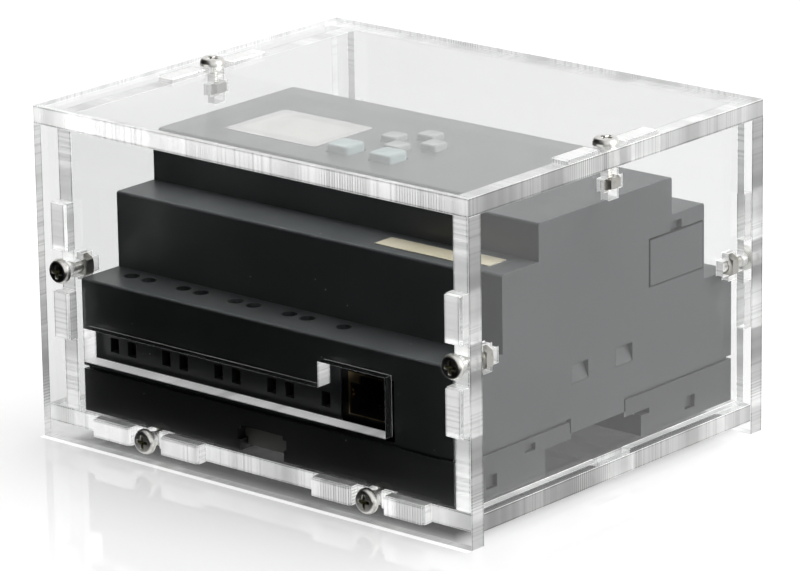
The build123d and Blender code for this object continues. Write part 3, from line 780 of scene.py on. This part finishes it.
class Case:
    """The clear sheets with their cut edges, the screws and the nuts."""

    head_radius = 2.8 * MM
    head_height = 1.6 * MM
    cross_half = 0.42 * MM
    cross_reach = 1.6 * MM
    cross_depth = 1.1 * MM
    thread_radius = 1.5 * MM
    thread_pitch = 0.5 * MM
    thread_depth = 0.28 * MM
    shank_length = 10.0 * MM
    nut_flats = 5.5 * MM
    nut_thickness = 2.4 * MM
    nut_face = 6.8 * MM
    lid_top = 75.0 * MM
    panel_face = 49.75 * MM
    corner_screws_x = (-54.0 * MM, 57.0 * MM)
    corner_screws_z = 39.0 * MM
    base_screws_x = (-30.1 * MM, 33.1 * MM)
    base_screws_z = 5.0 * MM
    window_area = (-49.0 * MM, 39.0 * MM, 15.0 * MM, 36.0 * MM)
    sheets = {
        "lid": Axis.Z,
        "front_panel": Axis.Y,
        "back_panel": Axis.Y,
        "left_panel": Axis.X,
        "right_panel": Axis.X,
        "base_panel": Axis.Z,
    }

    def __init__(self) -> None:
        """Make the finishes, and find the screw seats from the panels."""
        self.face = ClearFace().build()
        self.edges = {
            Axis.X: CutEdge("cut_edge_x", Axis.X, 1.5 * MM, 55.5 * MM).build(),
            Axis.Y: CutEdge("cut_edge_y", Axis.Y, 0.0, 47.75 * MM).build(),
            Axis.Z: CutEdge("cut_edge_z", Axis.Z, 39.0 * MM, 34.0 * MM).build(),
        }
        steel = Metal("plated_steel", (0.5, 0.49, 0.46), (0.34, 0.32, 0.28), 0.3)
        self.steel = steel.build()
        bright, stain = (0.88, 0.87, 0.84), (0.7, 0.68, 0.62)
        # The screw steel gets painted shade, tinted dark olive, in its cross recesses.
        self.screw_steel = replace(
            steel, name="screw_steel", colour=bright, stain=stain, recessed=True
        ).build()
        self.seats = [((x, 0.0, self.lid_top), Axis.X.value, Axis.Z.value) for x in self.corner_screws_x]
        for outward in (-1.0, 1.0):
            y = outward * self.panel_face
            facing = (0.0, outward, 0.0)
            self.seats += [((x, y, self.corner_screws_z), Axis.X.value, facing) for x in self.corner_screws_x]
            self.seats += [((x, y, self.base_screws_z), Axis.Z.value, facing) for x in self.base_screws_x]

    def sheet(self, node: str, axis: Axis) -> bpy.types.Object:
        """One sheet, its faces polished and its edges frosted, but for the window's right and upper cuts.

        Args:
            node: The CAD node that the sheet stands for.
            axis: The direction that its faces look along.

        Returns:
            The piece.
        """
        piece = merged_copy(node, f"{node}_sheet", SHEET_INSET)
        piece.data.materials.append(self.face)
        piece.data.materials.append(self.edges[axis])
        normals = mesh_rows(piece.data.polygons, "normal")
        across = np.abs(normals @ np.array(axis.value)) < 0.9
        if node == "front_panel":
            x, _, z = mesh_rows(piece.data.polygons, "center").T
            left, right, low, high = self.window_area
            in_window = (x > left) & (x < right) & (z > low) & (z < high)
            across &= ~(in_window & ((normals[:, 0] < -0.5) | (normals[:, 2] < -0.5)))
        piece.data.polygons.foreach_set("material_index", across.astype(np.int32))
        bevel(piece, EDGE_ROUNDING, 1)
        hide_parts(node)
        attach(piece, "case")
        return piece

    def head_points(self) -> tuple:
        """Pan head over a polar grid: a dome with a rounded rim, less a cross where |x| or |y| is small.

        Returns:
            Local points, rows from the middle of the top out over the rim and back under the head, and
            how deep each lies in the recess, from 0 to 1.
        """
        rings, sides = 34, 64
        share = np.linspace(0.0, 1.0, rings)[:, None]
        angle = turns(sides)[None, :]
        radius = self.head_radius * share
        x, y = np.abs(radius * np.cos(angle)), np.abs(radius * np.sin(angle))
        rim = np.clip((share - 0.74) / 0.26, 0.0, 1.0) ** 2.2
        dome = self.head_height * (1.0 - 0.04 * share**2 - 0.55 * rim)
        arms = [
            np.clip((self.cross_half - across) / (0.12 * MM), 0, 1)
            * np.clip((self.cross_reach - along) / (0.3 * MM), 0, 1)
            for along, across in ((x, y), (y, x))
        ]
        cross = np.maximum(*arms)
        slope = np.clip(1.15 - radius / self.cross_reach, 0.35, 1.0)
        upper = polar(radius, angle, dome - self.cross_depth * cross * slope)
        low_radius = self.head_radius * np.array([1.0, 1.0, 0.97, 0.55])[:, None]
        lower = polar(low_radius, angle, np.array([0.3, 0.04, 0.0, 0.0])[:, None] * MM)
        return np.concatenate([upper, lower]), np.concatenate([cross, np.zeros(lower.shape[:2])])

    def shank_points(self) -> np.ndarray:
        """Threaded shank: the radius falls and rises with the turn count plus the angle, as a rounded ridge.

        Returns:
            Local points, rows from under the head down to the closed tip.
        """
        steps, sides = 121, 18
        depth = np.linspace(0.0, self.shank_length, steps)[:, None]
        angle = turns(sides)[None, :]
        turn = (depth / self.thread_pitch + angle / (2 * np.pi)) % 1.0
        ridge = np.abs(2.0 * turn - 1.0)
        tip = np.clip((depth - self.shank_length + 0.5 * MM) / (0.5 * MM), 0.0, 1.0)
        radius = self.thread_radius - self.thread_depth * (1.0 - ridge) - 0.25 * MM * tip
        return np.concatenate([polar(radius, angle, -depth), polar(0.0, angle, -self.shank_length)])

    def screws(self) -> bpy.types.Object:
        """All the case's screws as one piece."""
        head, arms = self.head_points()
        shank = self.shank_points()
        sunk = np.concatenate([arms.ravel(), np.zeros(shank.shape[0] * shank.shape[1])])
        points, quads, start = [], [], 0
        for seat in self.seats:
            for part in (head, shank):
                points.append(seated(part.reshape(-1, 3), *seat))
                quads.append(grid_faces(*part.shape[:2], close_columns=True) + start)
                start += part.shape[0] * part.shape[1]
        sunk = np.tile(sunk, len(self.seats))
        piece = make_piece("case_screw_set", np.concatenate(points), np.concatenate(quads), sunk=sunk)
        piece.data.set_sharp_from_angle(angle=math.radians(38.0))
        piece.data.materials.append(self.screw_steel)
        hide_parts("case_screws")
        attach(piece, "case")
        return piece

    def nut_points(self) -> np.ndarray:
        """Hexagonal nut: the radius follows the flats, and its corners fall away in a cone at both faces.

        Returns:
            Local points, eight rings from the bore over the outside and back.
        """
        angle = turns(96)
        sector = (angle + np.pi / 6) % (np.pi / 3) - np.pi / 6
        outer = self.nut_flats / 2 / np.cos(sector) * 0.995
        round_edge = self.nut_flats / 2 * 0.95
        fall = (outer - round_edge) * 0.5
        bore, chamfer = self.thread_radius + 0.05 * MM, 0.25 * MM
        half = self.nut_thickness / 2
        rings = [
            (bore, half - chamfer),
            (bore + chamfer, half),
            (round_edge, half),
            (outer, half - fall),
            (outer, fall - half),
            (round_edge, -half),
            (bore + chamfer, -half),
            (bore, chamfer - half),
        ]
        return np.stack([polar(radius, angle, height) for radius, height in rings])

    def nuts(self) -> bpy.types.Object:
        """All the case's nuts as one piece, each down its screw's axis in its slot."""
        nut = self.nut_points()
        drop = np.array([0.0, 0.0, -self.nut_face - self.nut_thickness / 2])
        points = [seated(nut.reshape(-1, 3) + drop, *seat) for seat in self.seats]
        faces = grid_faces(*nut.shape[:2], close_rows=True, close_columns=True)
        size = nut.shape[0] * nut.shape[1]
        quads = [faces + index * size for index in range(len(self.seats))]
        piece = make_piece("case_nut_set", np.concatenate(points), np.concatenate(quads))
        piece.data.set_sharp_from_angle(angle=math.radians(25.0))
        piece.data.materials.append(self.steel)
        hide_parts("case_nuts")
        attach(piece, "case")
        return piece

    def build(self) -> None:
        """Build every piece of the case and report it."""
        pieces = [self.sheet(node, axis) for node, axis in self.sheets.items()]
        for piece in (*pieces, self.screws(), self.nuts()):
            log.info("made %s", piece.name)


class Module:
    """The logic module: its mouldings, keys, display, terminals and socket."""

    teal_keys = ("esc_key", "ok_key")
    key_names = (*teal_keys, "up_key", "down_key", "left_key", "right_key")
    # The cover's pockets and the base's snap holes, round which dark lines of painted shade are drawn.
    end_pockets = tuple(((0.0, y, 26.85 * MM), (0.0, 2.8 * MM, 2.05 * MM)) for y in (-7.3 * MM, 7.8 * MM))
    snap_holes = tuple(((0.0, y, 10.4 * MM), (0.0, 1.7 * MM, 1.4 * MM)) for y in (-36.7 * MM, 30.7 * MM))
    jack_half = (5.9 * MM, 0.0, 4.35 * MM)
    jack_z = 25.35 * MM

    def __init__(self) -> None:
        """Make the finishes, those that several nodes share once."""
        cap_low, cap_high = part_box("expansion_cap")
        lens_low, lens_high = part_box("display_window")
        lens_half = (lens_high - lens_low) / 2 - Vector((2.2 * MM, 3.2 * MM, 0.0))
        jack_low, jack_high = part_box("network_socket")
        opening = ((jack_low.x + jack_high.x) / 2, 0.0, self.jack_z)
        plastic = MouldedPlastic("cover_plastic", (0.07, 0.075, 0.077), (0.15, 0.155, 0.157))
        cap = CapPlastic(tuple((cap_low + cap_high) / 2), tuple((cap_high - cap_low) / 2))
        lower = MouldedPlastic("base_plastic", (0.06, 0.063, 0.062), (0.12, 0.122, 0.12), 0.4)
        latch = MouldedPlastic("latch_plastic", (0.34, 0.335, 0.31), (0.4, 0.395, 0.37), 0.42, film=0.05)
        teal = MouldedPlastic("teal_key", (0.36, 0.44, 0.435), (0.5, 0.58, 0.57), 0.35, specks=0.4, film=0.05)
        grey = replace(teal, name="grey_key", colour=(0.36, 0.37, 0.37), worn_and_highlight=(0.6, 0.61, 0.61))
        lens = DisplayLens(tuple((lens_low + lens_high) / 2), tuple(lens_half))
        finishes = {
            "module_cover": replace(plastic, pockets=self.end_pockets),
            "expansion_cap": cap,
            "module_base": replace(lower, pockets=self.snap_holes),
            "din_latch": latch,
            "display_window": lens,
            "lcd_module": lens,
            "terminal_clamps": Metal("clamp_brass", (0.72, 0.56, 0.28), (0.4, 0.29, 0.14), 0.3),
            "terminal_screws": Metal("terminal_steel", (0.5, 0.5, 0.49), (0.3, 0.29, 0.27), 0.32),
            "network_socket": SocketShield(jack_low.y, opening, self.jack_half),
            "socket_contacts": Metal("gold_contacts", (0.83, 0.62, 0.25), (0.6, 0.43, 0.17), 0.2),
            "rating_label": LabelFoil(),
            "power_board": CircuitBoard(),
            "main_board": CircuitBoard(),
            "relays": MouldedPlastic("relay_black", (0.02, 0.02, 0.02), (0.06, 0.06, 0.06), 0.35),
            "key_pad": MouldedPlastic("rubber_pad", (0.5, 0.5, 0.5), (0.55, 0.55, 0.55), 0.7),
        }
        finishes |= {node: teal if node in self.teal_keys else grey for node in self.key_names}
        built = {finish: finish.build() for finish in dict.fromkeys(finishes.values())}
        self.materials = {node: built[finish] for node, finish in finishes.items()}

    def key(self, node: str) -> bpy.types.Object:
        """A key cap: rings of a superellipse that step in from the flange and round over to a dished top.

        Args:
            node: The CAD key.

        Returns:
            The piece.
        """
        low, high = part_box(node)
        middle = (low + high) / 2
        flange = (high.x - low.x) / 2
        cap = flange - 0.4 * MM
        step = low.z + 1.3 * MM
        top = high.z
        rings = [
            (0.0, low.z),
            (flange, low.z),
            (flange, step),
            (cap, step),
            (cap, top - 0.45 * MM),
            (cap - 0.06 * MM, top - 0.22 * MM),
            (cap - 0.2 * MM, top - 0.06 * MM),
            (cap - 0.42 * MM, top),
            (cap * 0.72, top - 0.08 * MM),
            (cap * 0.45, top - 0.2 * MM),
            (cap * 0.2, top - 0.26 * MM),
            (0.0, top - 0.27 * MM),
        ]
        circle = polar(1.0, turns(64), 0.0)
        outline = np.sign(circle) * np.abs(circle) ** (2.0 / 6.0)
        points = np.stack([outline * size + (middle.x, middle.y, height) for size, height in rings])
        quads = grid_faces(*points.shape[:2], close_columns=True)
        piece = make_piece(f"{node}_cap", points, quads)
        piece.data.set_sharp_from_angle(angle=math.radians(50.0))
        piece.data.materials.append(self.materials[node])
        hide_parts(node)
        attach(piece, node)
        return piece

    def wall_finger(self) -> np.ndarray:
        """Spring finger on the jack's left wall: a flat strip that bows off the wall by half a sine.

        Returns:
            Its points, rows up the strip from a closed end to a closed end.
        """
        low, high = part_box("network_socket")
        wall = (low.x + high.x) / 2 - self.jack_half[0]
        share = np.linspace(0.0, 1.0, 14)[:, None]
        section = np.array([[0.0, 0.6], [0.0, 1.7], [0.16, 1.7], [0.16, 0.6]]) * MM
        bow = 0.35 * MM * np.sin(np.pi * share)
        z = low.z + (6.3 + 2.7 * share) * MM
        return closed_strip(wall + section[:, 0] + bow, low.y + section[:, 1], z)

    def contacts(self) -> bpy.types.Object:
        """The jack's contact springs: flat wires carried along a path that rises to the back of the jack.

        Returns:
            The piece, one strip for each contact, and the wall's spring finger.
        """
        low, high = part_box("socket_contacts")
        pitch = (high.x - low.x - 0.5 * MM) / 7
        share = np.linspace(0.0, 1.0, 14)[:, None]
        y = low.y + (high.y - low.y) * share
        z = low.z + 0.2 * MM + 2.2 * MM * share**1.5
        section = np.array([[-0.2, -0.1], [0.2, -0.1], [0.2, 0.1], [-0.2, 0.1]]) * MM
        middles = low.x + 0.25 * MM + pitch * np.arange(8)
        strips = [closed_strip(x + section[:, 0], y, z + section[:, 1]) for x in middles]
        strips.append(self.wall_finger())
        rows, columns = strips[0].shape[:2]
        faces = grid_faces(rows, columns, close_columns=True)
        quads = [faces + index * rows * columns for index in range(len(strips))]
        piece = make_piece("jack_springs", np.concatenate(strips), np.concatenate(quads), smooth=False)
        piece.data.materials.append(self.materials["socket_contacts"])
        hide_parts("socket_contacts")
        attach(piece, "case")
        return piece

    def build(self) -> None:
        """Build the module's finer pieces, and give the nodes that keep their shape their materials."""
        for piece in (*(self.key(node) for node in self.key_names), self.contacts()):
            log.info("made %s", piece.name)
        for node, material in self.materials.items():
            if node not in (*self.key_names, "socket_contacts"):
                nodes[node].data.materials.clear()
                nodes[node].data.materials.append(material)
                log.info("dressed %s", node)


@dataclass(frozen=True)
class Lamp:
    """A soft square lamp, its measures in metres and its power in watts.

    One that isn't mirrored stays out of reflections, because the front sheet would throw it onto the
    module's front.
    """

    name: str
    place: tuple
    target: tuple
    size: float
    power: float
    mirrored: bool = True

    def build(self) -> None:
        """Put the lamp in the scene, turned to its target."""
        data = bpy.data.lights.new(self.name, "AREA")
        data.size = self.size
        data.energy = self.power
        lamp = bpy.data.objects.new(self.name, data)
        aim = (Vector(self.target) - Vector(self.place)).to_track_quat("-Z", "Y")
        lamp.matrix_world = Matrix.Translation(self.place) @ aim.to_matrix().to_4x4()
        lamp.visible_glossy = self.mirrored
        lamp.visible_transmission = self.mirrored
        bpy.context.scene.collection.objects.link(lamp)


@dataclass(frozen=True)
class Studio:
    """White table and backdrop, soft lamps from the top, the right and faintly the front, and the camera.

    The levels seen behind a sheet are a little lower than those seen past it, as in the photograph.
    """

    camera_place: tuple = (0.68806, -0.80061, 0.35251)
    azimuth: float = 40.6796
    elevation: float = 16.8037
    roll: float = -0.878
    focal_pixels: float = 5065.8
    image_width: float = 800.0
    shade_towards: tuple = (-0.655, -0.755, 0.0)
    dark_front: tuple = (-0.3, -0.95, 0.0)
    foot_middle: tuple = (0.0011, 0.0005, 0.0)
    foot_half: tuple = (0.0525, 0.045, 0.0)
    foot_line: float = -0.0506
    foot_half_length: float = 0.061
    foot_highlight_level: float = 0.4
    behind_sheet: float = 0.81
    table_behind_sheet: float = 0.82
    sky_level: float = 1.3
    table_level: float = 0.6
    matt_shadow_levels: tuple = (0.09, 0.35)
    mirror_ends: tuple = (-0.05, -0.062)
    lamps: tuple = (
        Lamp("top_lamp", (0.05, 0.28, 0.85), (0.0, 0.0, 0.04), 0.7, 11.5, mirrored=False),
        Lamp("right_lamp", (0.75, 0.3, 0.35), (0.0, 0.05, 0.04), 0.5, 4.2),
        Lamp("front_lamp", (-0.1, -0.7, 0.75), (0.0, 0.0, 0.04), 0.5, 0.1),
    )

    def camera(self) -> None:
        """The camera at the photograph's viewing angle."""
        az, el, roll = (math.radians(value) for value in (self.azimuth, self.elevation, self.roll))
        forward = Vector((-math.sin(az) * math.cos(el), math.cos(az) * math.cos(el), -math.sin(el)))
        right = Vector((math.cos(az), math.sin(az), 0.0))
        up = right.cross(forward)
        right_rolled = math.cos(roll) * right + math.sin(roll) * up
        up_rolled = -math.sin(roll) * right + math.cos(roll) * up
        turn = Matrix((right_rolled, up_rolled, -forward)).transposed().to_4x4()
        data = bpy.data.cameras.new("camera")
        data.sensor_width = 36.0
        data.lens = self.focal_pixels / self.image_width * 36.0
        data.clip_start = 0.01
        camera = bpy.data.objects.new("camera", data)
        camera.matrix_world = Matrix.Translation(self.camera_place) @ turn
        bpy.context.scene.collection.objects.link(camera)
        bpy.context.scene.camera = camera

    def seen_plainly(self, graph: Graph, path: bpy.types.Node) -> bpy.types.NodeSocket:
        """One for rays that come from the camera, also through clear sheet, before any reflection."""
        through = graph.math("ADD", path.outputs["Is Camera Ray"], path.outputs["Is Transmission Ray"])
        bounced = graph.math("ADD", path.outputs["Diffuse Depth"], path.outputs["Glossy Depth"])
        return graph.times(through, graph.math("LESS_THAN", bounced, 0.5))

    def seen_mirrored(self, graph: Graph, path: bpy.types.Node) -> bpy.types.NodeSocket:
        """One for rays that were reflected or went through clear sheet, before any scatter."""
        glossy = graph.math("MAXIMUM", path.outputs["Is Glossy Ray"], path.outputs["Is Transmission Ray"])
        return graph.times(glossy, graph.math("LESS_THAN", path.outputs["Diffuse Depth"], 0.5))

    def world(self) -> None:
        """White where it is seen, white with a dark side in reflections, and light from behind the part."""
        world = bpy.data.worlds.new("studio")
        world.use_nodes = True
        bpy.context.scene.world = world
        graph = Graph(world.node_tree)
        world.node_tree.nodes.clear()
        path = graph.add("ShaderNodeLightPath")
        direction = graph.add("ShaderNodeTexCoord").outputs["Generated"]
        reflected = graph.ramp(graph.dot(direction, self.shade_towards), 0.1, 0.65, self.behind_sheet, 0.0)
        lighting = graph.ramp(graph.dot(direction, self.dark_front), -0.5, 0.0, self.sky_level, 0.0)
        level = graph.mix(self.seen_mirrored(graph, path), lighting, reflected)
        backdrop = graph.ramp(path.outputs["Is Camera Ray"], 0.0, 1.0, self.behind_sheet, 1.0)
        strength = graph.mix(self.seen_plainly(graph, path), level, backdrop)
        background = graph.add("ShaderNodeBackground", {0: WHITE, 1: strength})
        output = graph.add("ShaderNodeOutputWorld")
        graph.feed(output.inputs["Surface"], background.outputs[0])

    def floor(self) -> None:
        """A glossy white table that shows the object's shadow and a faint mirror image of it.

        Its own light is less under the part, a painted shadow where the shade of a real table would be, and
        its diffuse colour is painted darker there too. It has a painted highlight, a bright line where the
        front panel stands. Scattered light finds it nearly black, so that it doesn't brighten the module's
        front.
        """
        corners = np.array([[-1.0, -1.0, 0.0], [1.0, -1.0, 0.0], [1.0, 1.0, 0.0], [-1.0, 1.0, 0.0]])
        table = make_piece("table", 4.0 * corners, np.array([[0, 1, 2, 3]]), smooth=False)
        material = bpy.data.materials.new("white_table")
        material.use_nodes = True
        graph = Graph(material.node_tree)
        graph.tree.nodes.clear()
        path = graph.add("ShaderNodeLightPath")
        place = graph.place()
        x, y, _ = graph.split(place)
        outside = graph.frame_distance(self.foot_middle, self.foot_half, 0, 1)
        # Painted shadow: the table's own light fades out under the part.
        near = graph.ramp(outside, -3.0 * MM, 6.0 * MM, 0.0, self.table_level)
        radius = graph.add("ShaderNodeVectorMath", {0: place}, operation="LENGTH").outputs["Value"]
        level = graph.math("ADD", near, graph.ramp(radius, 0.2, 1.1, 0.0, self.table_level))
        # Painted highlight: a bright line on the table along the front panel's foot.
        foot_highlight = graph.frame_line(graph.math("SUBTRACT", y, self.foot_line), 1.0 * MM)
        under_panel = graph.math("LESS_THAN", graph.math("ABSOLUTE", x), self.foot_half_length)
        level = graph.math("ADD", level, graph.times(foot_highlight, under_panel, self.foot_highlight_level))
        behind = graph.ramp(path.outputs["Is Camera Ray"], 0.0, 1.0, self.table_behind_sheet, 1.0)
        white = graph.add("ShaderNodeEmission", {0: WHITE, 1: graph.times(level, behind)})
        # Painted shadow: the table's diffuse colour is darker under the part.
        matt_level = graph.times(behind, graph.ramp(outside, -3.0 * MM, 3.0 * MM, *self.matt_shadow_levels))
        matt = graph.add("ShaderNodeBsdfDiffuse", {0: matt_level})
        body = graph.add("ShaderNodeAddShader", {0: white.outputs[0], 1: matt.outputs[0]})
        gloss = graph.add("ShaderNodeBsdfGlossy", {"Color": WHITE, "Roughness": 0.03})
        fresnel = graph.add("ShaderNodeFresnel", {"IOR": 1.45}).outputs[0]
        seen = graph.add("ShaderNodeMixShader", {0: fresnel, 1: body.outputs[0], 2: gloss.outputs[0]})
        strength = graph.ramp(y, *self.mirror_ends, self.behind_sheet, 0.0)
        mirrored = graph.add("ShaderNodeEmission", {0: WHITE, 1: strength})
        dull = graph.add("ShaderNodeBsdfDiffuse", {0: (0.03, 0.03, 0.03)})
        inputs = {0: self.seen_mirrored(graph, path), 1: dull.outputs[0], 2: mirrored.outputs[0]}
        other = graph.add("ShaderNodeMixShader", inputs)
        inputs = {0: self.seen_plainly(graph, path), 1: other.outputs[0], 2: seen.outputs[0]}
        final = graph.add("ShaderNodeMixShader", inputs)
        output = graph.add("ShaderNodeOutputMaterial")
        graph.feed(output.inputs["Surface"], final.outputs[0])
        table.data.materials.append(material)

    def build(self) -> None:
        """Set up the stage, the light and the camera."""
        self.camera()
        self.world()
        self.floor()
        for lamp in self.lamps:
            lamp.build()
        bpy.context.scene.view_settings.view_transform = "Standard"


def main() -> None:
    """Build the scene."""
    logging.basicConfig(level=logging.INFO, format="%(name)s: %(message)s")
    Studio().build()
    Case().build()
    Module().build()


if __name__ == "__main__":
    main()
